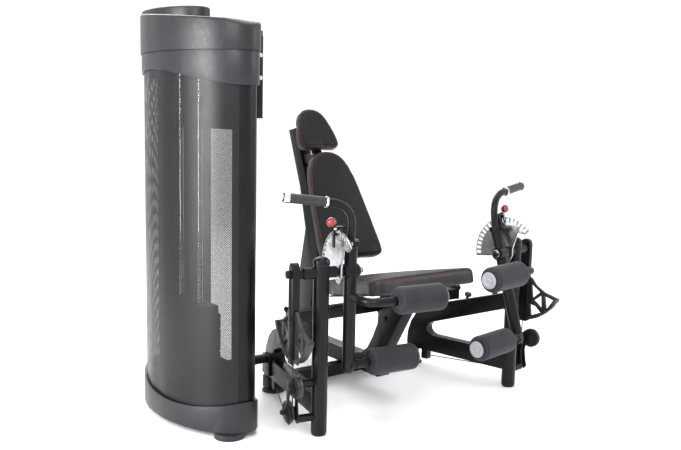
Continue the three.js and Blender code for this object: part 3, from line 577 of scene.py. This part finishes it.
def build_pulleys(side):
    place = side_place(side)
    for label, (forward, up, body) in PULLEYS.items():
        centre = (CAM_PLANE, forward, up)
        near = [(13, -9), (13, -7), (33, -6.2), (35, -9), (41, -9), (41, -6.4), (37.4, -2.2)]
        far = [(radius, -along) for radius, along in reversed(near)]
        wheel = hollow(PULLEY_BORE, [*near, (36.4, 0), *far], centre, (1, 0, 0), 64, 0.5)
        node = f"{side}_{label}_pulley"
        put(f"{node}_finished", wheel, place, "black_plastic", f"{side}_{body}", (node,))
        hex_bolt(f"{node}_bolt", place, (-131.0, forward, up), (-1, 0, 0), "frame", 15, 6, "black_paint")
    eased_copy(f"{side}_pulley_bracket", 0.9, 2)


def build_arm(side):
    place = arm_place(side)
    body = f"{side}_arm"
    foot = [(0, -ARM_DROP), (14, -ARM_DROP + 3), (20.5, -ARM_DROP + 10), (ARM_RADIUS, -ARM_DROP + 20)]
    inset_up = ((ARM_INSET, 0, 0), (0, 0, 1))
    shell = turned([*foot, (ARM_RADIUS, 104), (0, 104)], *inset_up, 64, 0.6)
    collar = hollow(15, [(29, 94), (29, COLLAR_TOP)], *inset_up, 64, 1.6)
    split = block((ARM_INSET - 12, ARM_INSET + 12), (24, 45), (95.5, 115.5), 2)
    hub = hollow(SHAFT_BORE, [(27, 88), (27, 146)], (0, 0, 0), (1, 0, 0), 64, 1.6)
    bracket = [
        block((79, 90), (-13, 13), (100, 168)), block((57, 92), (-13, 13), (159, 168)),
        block((40, 58), (-13, -9.4), (152, 168), 1), block((40, 58), (9.4, 13), (152, 168), 1),
    ]
    whole = merged(shell, collar, split, hub, *bracket)
    put(f"{side}_arm_tube_finished", whole, place, "black_paint", body, (f"{side}_arm_tube",))
    button_bolt(f"{side}_collar_bolt", place, (ARM_INSET - 12, 36, 105.5), (-1, 0, 0), body, 7)
    button_bolt(f"{side}_pin_pivot_bolt", place, (46.5, 13, 160), (0, 1, 0), body, 6)
    handle = tube(HANDLE, HANDLE_RADIUS, HANDLE_BEND)
    put(f"{side}_handle_tube_finished", handle, place, "black_paint", body, (f"{side}_handle_tube",))
    build_grip(side, place, body)
    for label, axle, bend in (("upper", UPPER_AXLE, 70), ("lower", LOWER_AXLE, 1)):
        build_axle(side, place, body, label, axle, bend)
        build_roller(side, place, label, axle)
    eased_copy(f"{side}_pin_lever", 0.8, 2)
    quarter_turns = (math.radians(-90 + 7.5 * k) for k in range(25))
    ball = [(max(BALL_RADIUS * math.cos(a), 0), BALL_RADIUS * math.sin(a)) for a in quarter_turns]
    put(f"{side}_pin_ball", turned(ball, BALL_CENTRE, (0, 0, 1), 48, 0.0),
        place, "red_ball", f"{side}_lock_pin", (f"{side}_pin_knob",))
    ferrule = hollow(3.6, [(6.5, 3.5), (6.5, 7.5)], LEVER_TOP, BALL_CENTRE - LEVER_TOP, 32, 0.6)
    put(f"{side}_pin_ball_ferrule", ferrule, place, "chrome", f"{side}_lock_pin")


def build_grip(side, place, body):
    """Rubber sleeve with a bright ring at each end and a capped tip."""
    line = HANDLE[3] - HANDLE[2]
    start = HANDLE[2] + line * ((GRIP_INSET - HANDLE[2].x) / line.x)
    sleeve = hollow(15, [(17.2, 9.6), (17.6, 12), (17.6, GRIP_LENGTH - 14)], start, line, 56, 0.3)
    put(f"{side}_handle_grip_sleeve", sleeve, place, "grip_rubber", body, (f"{side}_handle_grip",))
    ring = hollow(14.9, [(20, 0), (20, 9.5)], start, line, 56, 1.6)
    put(f"{side}_grip_ring_inner", ring, place, "chrome", body)
    tip = [
        (0, GRIP_LENGTH + 3), (13, GRIP_LENGTH + 3), (14.5, GRIP_LENGTH + 5.5), (18, GRIP_LENGTH + 5.5),
        (20, GRIP_LENGTH + 2), (20, GRIP_LENGTH - 14), (17.5, GRIP_LENGTH - 14), (0, GRIP_LENGTH - 14),
    ]
    put(f"{side}_grip_end_cap", turned(tip, start, line, 56, 0.8), place, "chrome", body)


def build_axle(side, place, body, label, axle, bend):
    last = along_roller(axle, axle["roller_start"] + ROLLER_LENGTH + 2)
    corners = [along_roller(axle, ARM_INSET), last]
    if label == "upper":
        corners.insert(0, Vector((ARM_INSET, 0, -axle["drop"])))
    node = f"{side}_{label}_roller_axle"
    put(f"{node}_finished", tube(corners, AXLE_RADIUS, bend), place, "black_paint", body, (node,))
    end = along_roller(axle, axle["roller_start"] + ROLLER_LENGTH + 1.5)
    face = [(0, 0), (33, 0), (33, 3), (31, 4.5), (20, 4.5), (18.5, 3.2), (8, 3.2), (7, 4.6), (0, 4.6)]
    put(f"{node}_end_disc", turned(face, end, ROLLER_LINE, 56, 0.5), place, "end_disc", body)
    weld = hollow(15.6, [(19.5, 0), (17, 3)], corners[0] + (corners[1] - corners[0]).normalized() * 23.6,
                  corners[1] - corners[0], 40, 0.8)
    put(f"{node}_weld", weld, place, "black_paint", body)


def build_roller(side, place, label, axle):
    """Foam sleeve, crowned a little, with its ends drawn in to the tube in radial gathers."""
    sides, gathers = 168, 28
    bore, mouth, shoulder = 16.7, 17.2, 20
    half = ROLLER_LENGTH / 2
    frame_of_roller = aim(along_roller(axle, axle["roller_start"]), ROLLER_LINE)
    profile = []
    for k in range(15):
        a = math.radians(90 * k / 14)
        radius = mouth + (ROLLER_RADIUS - mouth) * math.sin(a) ** 0.62
        profile.append((radius, shoulder * (1 - math.cos(a)) ** 1.25))
    straight = [(ROLLER_RADIUS, shoulder + (half - shoulder) * k / 6) for k in range(1, 7)]
    near = profile + straight
    far = [(r, ROLLER_LENGTH - t) for r, t in reversed(near[:-1])]
    mesh = bmesh.new()
    rings = []
    for radius, along in near + far:
        depth = min(along, ROLLER_LENGTH - along)
        fade = max(0.0, 1 - depth / 17) ** 1.3 * min(1.0, (radius - 17) / 14)
        ring = []
        for i in range(sides):
            a = 2 * math.pi * i / sides
            fold = 0.5 + 0.5 * math.cos(gathers * a + 1.7 * math.sin(3 * a))
            push = 3.6 * fade * fold
            inward = 1 if along < half else -1
            local = Vector((radius * math.cos(a), radius * math.sin(a), along + inward * push))
            local.x *= 1 - 0.012 * fade * fold
            local.y *= 1 - 0.012 * fade * fold
            ring.append(frame_of_roller @ local)
        rings.append(ring)
    skin_rings(mesh, rings, False, False)
    turns = [2 * math.pi * i / sides for i in range(sides)]
    bore_near, bore_far = (
        [frame_of_roller @ Vector((bore * math.cos(a), bore * math.sin(a), along)) for a in turns]
        for along in (4, ROLLER_LENGTH - 4)
    )
    skin_rings(mesh, [bore_far, bore_near], False, False)
    bmesh.ops.recalc_face_normals(mesh, faces=mesh.faces)
    node = f"{side}_{label}_roller"
    body = f"{side}_{label}_pad_roller"
    piece = put(f"{node}_sleeve", mesh, place, "foam", body, (node,), math.radians(60))


def build_side_frame(side):
    place = side_place(side)
    eased_copy(f"{side}_side_frame", 5.0, 4)
    frame["nodes"][f"{side}_drive_cable"].data.materials[0] = M["cable"]
    for k, (forward, up) in enumerate(((-203, -236), (-315, -272))):
        for face, way in ((25, 1), (-25, -1)):
            name = f"{side}_frame_bolt_{k}_{'in' if way > 0 else 'out'}"
            hex_bolt(name, place, (face, forward, up - 22), (way, 0, 0), "frame", finish="black_paint")
    knob = [(0, 0), (6, 0), (6, 10), (14, 14), (17, 22), (14, 30), (0, 32)]
    stem = turned(knob, (0, -233, -254.5), (0, 0.29, 1), 32, 1)
    put(f"{side}_frame_top_knob", stem, place, "black_plastic", "frame")


# ------------------------------------------------------------------ centre frame
def build_centre():
    eased_copy("spine_beam", 5, 4)
    eased_copy("seat_column", 3)
    eased_copy("seat_cross_tube", 4, 4)
    eased_copy("rear_foot_beam", 4, 4)
    eased_copy("back_upright", 3)
    eased_copy("tower_tie", 1.2, 2)
    for side, x in (("right", -395), ("left", 395)):
        profile = [(0, 0), (50, 0), (50, 5), (46, 8), (34, 11.8), (0, 11.8)]
        disc = turned(profile, (x, 515, 0), (0, 0, 1), 64, 1)
        put(f"{side}_foot_pad", disc, CENTRE, "foot_rubber", "frame", (f"{side}_levelling_foot",))
    for label, way in (("right", -1), ("left", 1)):
        bolts = [(457.2, y, 404) for y in (275, 325)]
        bolts += [(30.2, y, z) for y, z in ((150, 390), (215, 330), (262, 170), (812, 180), (858, 180))]
        for k, (x, y, z) in enumerate(bolts):
            name = f"{label}_centre_bolt_{k}"
            hex_bolt(name, CENTRE, (way * x, y, z), (way, 0, 0), "frame", finish="black_paint")
        plate = block(sorted((way * 22.4, way * 25.4)), (846, 912), (1064, 1122), 1)
        put(f"{label}_headrest_clamp", plate, CENTRE, "zinc", "frame")
    low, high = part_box("spine_beam")
    for label, y, depth in (("front", low.y, -1.5), ("rear", high.y, 2.5)):
        start = y / MM - MIDDLE.y / MM
        heights = (low.z / MM + 4, high.z / MM - 4)
        plug = block((-31, 31), sorted((start, start + depth)), heights, 0.6)
        put(f"spine_end_plug_{label}", plug, CENTRE, "black_plastic", "frame")


# ------------------------------------------------------------------ pads
def pad_outline(half_front, half_back, length, corner, steps=7):
    """Half outline points of a seat shaped pad, from the front middle round to the back middle."""
    points = [(0, 0)]
    for cx, cy, from_deg in ((half_front - corner, corner, -90), (half_back - corner, length - corner, 0)):
        for k in range(steps + 1):
            a = math.radians(from_deg + 90 * k / steps)
            points.append((cx + corner * math.cos(a), cy + corner * math.sin(a)))
    return [*points, (0, length)]


def inset_outline(points, amount):
    """A closed outline, counter-clockwise, drawn in by a set amount."""
    out = []
    count = len(points)
    for i, point in enumerate(points):
        along = Vector(points[(i + 1) % count]) - Vector(points[i - 1])
        normal = Vector((-along.y, along.x)).normalized()
        out.append(Vector(point) + normal * amount)
    return out


def whole_outline(half):
    return [*half, *((-x, y) for x, y in reversed(half[1:-1]))]


def cloth_inflate(data, cap, pressure=4.0, last_frame=20):
    """Fills the pad with air as cloth, then scales the swelling so that no point moves over cap."""
    piece = bpy.data.objects.new("pad_in_the_making", data)
    bpy.context.scene.collection.objects.link(piece)
    start = [v.co.copy() for v in data.vertices]
    cloth = piece.modifiers.new("cloth", "CLOTH")
    cloth.settings.use_pressure = True
    cloth.settings.uniform_pressure_force = pressure
    cloth.settings.effector_weights.gravity = 0
    cloth.settings.quality = 5
    cloth.point_cache.frame_start = 1
    cloth.point_cache.frame_end = last_frame
    for number in range(1, last_frame + 1):
        bpy.context.scene.frame_set(number)
    shaped = piece.evaluated_get(bpy.context.evaluated_depsgraph_get())
    places = [v.co.copy() for v in shaped.data.vertices]
    bpy.data.objects.remove(piece)
    bpy.context.scene.frame_set(1)
    moves = [now - was for was, now in zip(start, places)]
    share = min(1.0, cap * MM / max(move.length for move in moves))
    for vert, was, move in zip(data.vertices, start, moves):
        vert.co = was + move * share


def remeshed(mesh, voxel):
    data = bpy.data.meshes.new("pad_block")
    mesh.to_mesh(data)
    mesh.free()
    piece = bpy.data.objects.new("pad_block", data)
    bpy.context.scene.collection.objects.link(piece)
    modifier = piece.modifiers.new("remesh", "REMESH")
    modifier.mode = "VOXEL"
    modifier.voxel_size = voxel * MM
    smooth = piece.modifiers.new("smooth", "SMOOTH")
    smooth.iterations = 4
    result = bpy.data.meshes.new_from_object(piece.evaluated_get(bpy.context.evaluated_depsgraph_get()))
    bpy.data.objects.remove(piece)
    return result


def build_pad(node, start, slope, outline, thickness, cap=9):
    """One upholstered pad: blown up as cloth, flat underneath, with its top seam sewn in red."""
    along = Vector(slope).normalized()
    across = Vector((1, 0, 0))
    rise = across.cross(along)
    base = Vector(start)
    place = CENTRE @ Matrix.Translation(base) @ Matrix((across, along, rise)).transposed().to_4x4()
    mesh = bmesh.new()
    layers = ((7, 0.6), (4, 6), (4, thickness - 16), (9, thickness - 7), (19, thickness - 3))
    rings = [[(p.x * MM, p.y * MM, z * MM) for p in inset_outline(outline, amount)] for amount, z in layers]
    skin_rings(mesh, rings)
    bmesh.ops.recalc_face_normals(mesh, faces=mesh.faces)
    data = remeshed(mesh, 6.0)
    cloth_inflate(data, cap)
    seam = closed_path(inset_outline(outline, 11), 4)
    tree = kdtree.KDTree(len(seam))
    for i, point in enumerate(seam):
        tree.insert((point.x * MM, point.y * MM, 0), i)
    tree.balance()
    for vert in data.vertices:
        vert.co.z = min(max(vert.co.z, 0.4 * MM), (thickness + 9) * MM)
        if vert.co.z > (thickness - 22) * MM:
            distance = tree.find((vert.co.x, vert.co.y, 0))[2] / MM
            vert.co.z -= 2.6 * MM * math.exp(-((distance / 5.0) ** 2))
    smoothed = subdivided(data)
    points = [v.co.copy() for v in smoothed.vertices]
    surface = BVHTree.FromPolygons(points, [list(p.vertices) for p in smoothed.polygons])
    dress_pad(node, smoothed, place, thickness)
    sew_stitches(node, seam, surface, place)


def subdivided(data):
    piece = bpy.data.objects.new("pad_smoothing", data)
    bpy.context.scene.collection.objects.link(piece)
    modifier = piece.modifiers.new("subdivision", "SUBSURF")
    modifier.levels = 1
    modifier.render_levels = 1
    result = bpy.data.meshes.new_from_object(piece.evaluated_get(bpy.context.evaluated_depsgraph_get()))
    bpy.data.objects.remove(piece)
    return result


def dress_pad(node, data, place, thickness):
    """Top panel in black vinyl, and the boxing round the edge in the brown-grey tone that paints the shading of
    the sides.
    """
    mesh = bmesh.new()
    mesh.from_mesh(data)
    mesh.transform(Matrix.Scale(1 / MM, 4))
    for face in mesh.faces:
        # faces low on the pad that face sideways take the painted side shading (slot 1)
        low = face.calc_center_median().z < thickness - 9
        face.material_index = 1 if low and face.normal.z < 0.72 else 0
        face.smooth = True
    piece = put(f"{node}_cushion", mesh, place, "vinyl", "frame", (node,), math.radians(75))
    # second slot: the brown-grey painted side shading
    piece.data.materials.append(M["painted_side_shade"])


def closed_path(points, step):
    """Points every few millimetres round a closed outline."""
    path = []
    for here, there in zip(points, [*points[1:], points[0]]):
        here, there = Vector(here), Vector(there)
        count = max(1, round((there - here).length / step))
        path += [here.lerp(there, k / count) for k in range(count)]
    return path


def sew_stitches(node, seam, surface, place):
    """Short raised stitches, one after another along the seam, lying on the vinyl."""
    stitches = bmesh.new()
    length, gap, radius = 2, 1, 0.95
    for i in range(0, len(seam) - length, length + gap):
        ends = []
        for point in (seam[i], seam[i + length]):
            hit = surface.ray_cast(Vector((point.x * MM, point.y * MM, 0.2)), Vector((0, 0, -1)))
            if hit[0] is not None:
                ends.append(hit[0] / MM + Vector((0, 0, 0.25)))
        if len(ends) == 2 and (ends[1] - ends[0]).length < 14:
            data = bpy.data.meshes.new("stitch")
            stitch = rod(radius, ends[0], ends[1], 8, 0.5)
            stitch.to_mesh(data)
            stitch.free()
            stitches.from_mesh(data)
            bpy.data.meshes.remove(data)
    put(f"{node}_stitching", stitches, place, "red_thread", "frame")


def build_back_pad(node, bottom, slope, half_outline, thickness, cap=9):
    """A pad whose front face starts at bottom and climbs along slope."""
    slope = Vector(slope).normalized()
    behind = Vector((1, 0, 0)).cross(slope) * -thickness
    build_pad(node, Vector(bottom) + behind, slope, whole_outline(half_outline), thickness, cap)


def build_pads():
    steepness = math.hypot(1, SEAT_SLOPE)
    seat_start = (0, SEAT_FRONT_Y, SEAT_FRONT_Z - SEAT_THICKNESS * steepness)
    seat_length = (SEAT_BACK_Y - SEAT_FRONT_Y) * steepness
    seat = whole_outline(pad_outline(278, 170, seat_length, 48))
    build_pad("seat_pad", seat_start, (0, 1, -SEAT_SLOPE), seat, SEAT_THICKNESS)
    backrest_half = [
        (0, 0), (120, 0), (146, 3), (162, 12), (170, 28), (170, 60), (166, 110), (158, 190),
        (149, 270), (139, 345), (128, 405), (112, 455), (92, 492), (66, 517), (36, 531), (0, 535),
    ]
    build_back_pad("backrest_pad", (0, 457, 556), (0, 0.53, 1), backrest_half, 56)
    headrest_half = [
        (0, 0), (78, 0), (96, 4), (108, 15), (112, 32), (109, 66), (98, 115), (84, 158),
        (68, 188), (46, 207), (22, 216), (0, 218),
    ]
    build_back_pad("headrest_pad", (0, 738, 1036), (0, 0.6, 1), headrest_half, 52, 7)


# ------------------------------------------------------------------ tower
def shroud_outline():
    """The plan of the perforated sheet: the CAD shroud's top edge, refined into a smooth loop."""
    corners = [v.co.copy() for v in frame["nodes"]["tower_shroud"].data.vertices]
    top = max(c.z for c in corners)
    ring = [c for c in corners if c.z > top - 1e-4]
    centre = sum(ring, Vector()) / len(ring)
    centre.z = 0
    ring.sort(key=lambda c: math.atan2(c.y - centre.y, c.x - centre.x))
    outer = []
    for corner in ring:
        a = math.atan2(corner.y - centre.y, corner.x - centre.x)
        if outer and abs(a - outer[-1][0]) < math.radians(1.2):
            if (corner - centre).xy.length > (outer[-1][1] - centre).xy.length:
                outer[-1] = (a, corner)
        else:
            outer.append((a, corner))
    points = [corner.xy for _, corner in outer]
    count = len(points)
    fine = []
    for i in range(count):
        p0, p1, p2, p3 = (points[(i + k - 1) % count] for k in range(4))
        for t in (0, 0.25, 0.5, 0.75):
            fine.append(0.5 * (2 * p1 + (p2 - p0) * t + (2 * p0 - 5 * p1 + 4 * p2 - p3) * t * t
                               + (3 * p1 - p0 - 3 * p2 + p3) * t ** 3))
    return fine


SOLID_PANEL_REACH = 0.115  # the side that faces the seat is plain sheet, this far round


def build_shroud():
    low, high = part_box("tower_shroud")
    outline = shroud_outline()
    window_y = (MIDDLE.y + 0.390, MIDDLE.y + 0.570)
    window_z = (0.200, 1.120)
    levels = sorted({low.z, *window_z, high.z, *(low.z + (high.z - low.z) * k / 24 for k in range(25))})
    mesh = bmesh.new()
    unrolled = mesh.loops.layers.uv.new("unrolled")
    count = len(outline)
    lengths = [0.0]
    for i in range(count):
        lengths.append(lengths[-1] + (outline[(i + 1) % count] - outline[i]).length)
    grid = [[mesh.verts.new((p.x, p.y, z)) for p in outline] for z in levels]
    for row, (z0, z1) in enumerate(zip(levels, levels[1:])):
        for i in range(count):
            j = (i + 1) % count
            middle = (outline[i] + outline[j]) / 2
            at_window = middle.x > high.x - 0.03 and window_y[0] < middle.y < window_y[1]
            if at_window and window_z[0] <= z0 and z1 <= window_z[1]:
                continue
            face = mesh.faces.new((grid[row][i], grid[row][j], grid[row + 1][j], grid[row + 1][i]))
            face.material_index = 1 if middle.x > high.x - SOLID_PANEL_REACH else 0
            marks = ((lengths[i], z0), (lengths[i + 1], z0), (lengths[i + 1], z1), (lengths[i], z1))
            for loop, mark in zip(face.loops, marks):
                loop[unrolled].uv = mark
    bmesh.ops.delete(mesh, geom=[v for v in mesh.verts if not v.link_faces], context="VERTS")
    here = Matrix.Identity(4)
    sheet = put("tower_perforated_sheet", mesh, here, "mesh_sheet", "frame", ("tower_shroud",))
    sheet.data.materials.append(M["black_paint"])


def build_tower():
    build_shroud()
    eased_copy("tower_cap", 5, 5)
    eased_copy("tower_band", 1.5, 2)
    eased_copy("tower_base", 2, 2)
    eased_copy("tower_edge_strap", 1, 2)
    eased_copy("resting_weight_plates", 1.2, 2)
    eased_copy("picked_weight_plates", 1.2, 2)
    for k, z in enumerate((1311, 1392)):
        button_bolt(f"strap_bolt_{k}", CENTRE, (-654, 208.6, z), (0, -1, 0), "frame", 9)
    x, z = -802, 1452
    for label, y in (("front", 400), ("rear", 560)):
        put(f"{label}_guide_rod_finished", rod(10, (x, y, 28.6), (x, y, z)), CENTRE, "chrome", "frame",
            (f"{label}_guide_rod",))
        collar = hollow(10.2, [(19, 0), (19, 22)], (x, y, 1378), (0, 0, 1), 40, 1.5)
        put(f"{label}_guide_rod_collar", collar, CENTRE, "zinc", "frame")
    frame["nodes"]["stack_cable"].data.materials[0] = M["cable"]
    pin_low, pin_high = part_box("selector_pin")
    centre = (pin_low + pin_high) / 2
    start = (centre - MIDDLE) / MM
    start.x = (pin_low.x - MIDDLE.x) / MM
    reach = (pin_high.x - pin_low.x) / MM
    handle = ((26, 9), (20, 13), (12, 12.2), (5, 13), (0, 10), (0, 0))  # (back from the tip, radius)
    profile = [(0, 0), (5, 1), (5, reach - 26), *((radius, reach - back) for back, radius in handle)]
    pin = turned(profile, start, (1, 0, 0), 40, 0.8)
    put("selector_pin_finished", pin, CENTRE, "red_ball", "weight_selector", ("selector_pin",))


# ------------------------------------------------------------------ camera, lights, floor
def look_from_photo():
    azimuth, pitch, roll = math.radians(-36.37), math.radians(7.52), math.radians(1.2)
    forward = Vector((
        -math.sin(azimuth) * math.cos(pitch),
        math.cos(azimuth) * math.cos(pitch),
        -math.sin(pitch),
    ))
    right = forward.cross(Vector((0, 0, 1))).normalized()
    up = right.cross(forward)
    tilted_right = right * math.cos(roll) + up * math.sin(roll)
    tilted_up = up * math.cos(roll) - right * math.sin(roll)
    data = bpy.data.cameras.new("camera")
    data.sensor_width = 36
    data.lens = 43.1
    camera = bpy.data.objects.new("camera", data)
    turn = Matrix((tilted_right, tilted_up, -forward)).transposed().to_4x4()
    camera.matrix_world = Matrix.Translation(MIDDLE + Vector((-2.192, -2.388, 1.175))) @ turn
    bpy.context.scene.collection.objects.link(camera)
    bpy.context.scene.camera = camera


def soft_light(name, spot, target, size, watts, colour=(1, 1, 1)):
    data = bpy.data.lights.new(name, "AREA")
    data.shape = "RECTANGLE"
    data.size, data.size_y = size
    data.energy = watts
    data.color = colour
    lamp = bpy.data.objects.new(name, data)
    spot = MIDDLE + Vector(spot)
    way = MIDDLE + Vector(target) - spot
    lamp.matrix_world = Matrix.Translation(spot) @ way.to_track_quat("-Z", "Y").to_matrix().to_4x4()
    bpy.context.scene.collection.objects.link(lamp)


def build_studio():
    world = bpy.data.worlds.new("studio")
    world.use_nodes = True
    world.node_tree.nodes["Background"].inputs["Color"].default_value = (0.99, 0.995, 1.0, 1)
    world.node_tree.nodes["Background"].inputs["Strength"].default_value = 1.15
    bpy.context.scene.world = world
    bpy.context.scene.view_settings.view_transform = "Standard"
    mesh = bmesh.new()
    bmesh.ops.create_grid(mesh, x_segments=8, y_segments=8, size=30)
    data = bpy.data.meshes.new("floor")
    mesh.to_mesh(data)
    mesh.free()
    floor = bpy.data.objects.new("floor", data)
    bpy.context.scene.collection.objects.link(floor)
    n = Nodes("studio_floor")
    n.mottle(0.8, 2, (0.93, 0.935, 0.94), (0.95, 0.955, 0.96))
    n.link("Roughness", n.spread(n.noise(3, 2), 0.35, 0.45))
    data.materials.append(n.material)
    soft_light("key", (-3.2, -3.4, 3.4), (-0.2, 0.2, 0.7), (2.2, 2.6), 110)
    soft_light("side", (-3.6, 0.2, 1.5), (-0.8, 0.25, 1.2), (1.1, 2.4), 150)
    soft_light("fill", (3.4, -2.6, 2.4), (0.0, 0.2, 0.6), (2.4, 2.4), 60)
    soft_light("back", (1.2, 4.2, 3.2), (-0.2, 0.2, 0.8), (3.0, 2.0), 110)
    soft_light("top", (-0.2, 0.2, 4.4), (-0.2, 0.2, 0.0), (3.2, 3.2), 70)


look_from_photo()
build_studio()
for side in SIDES:
    build_post(side)
    build_side_frame(side)
    build_drive(side)
    build_pulleys(side)
    build_arm(side)
build_centre()
build_pads()
build_tower()
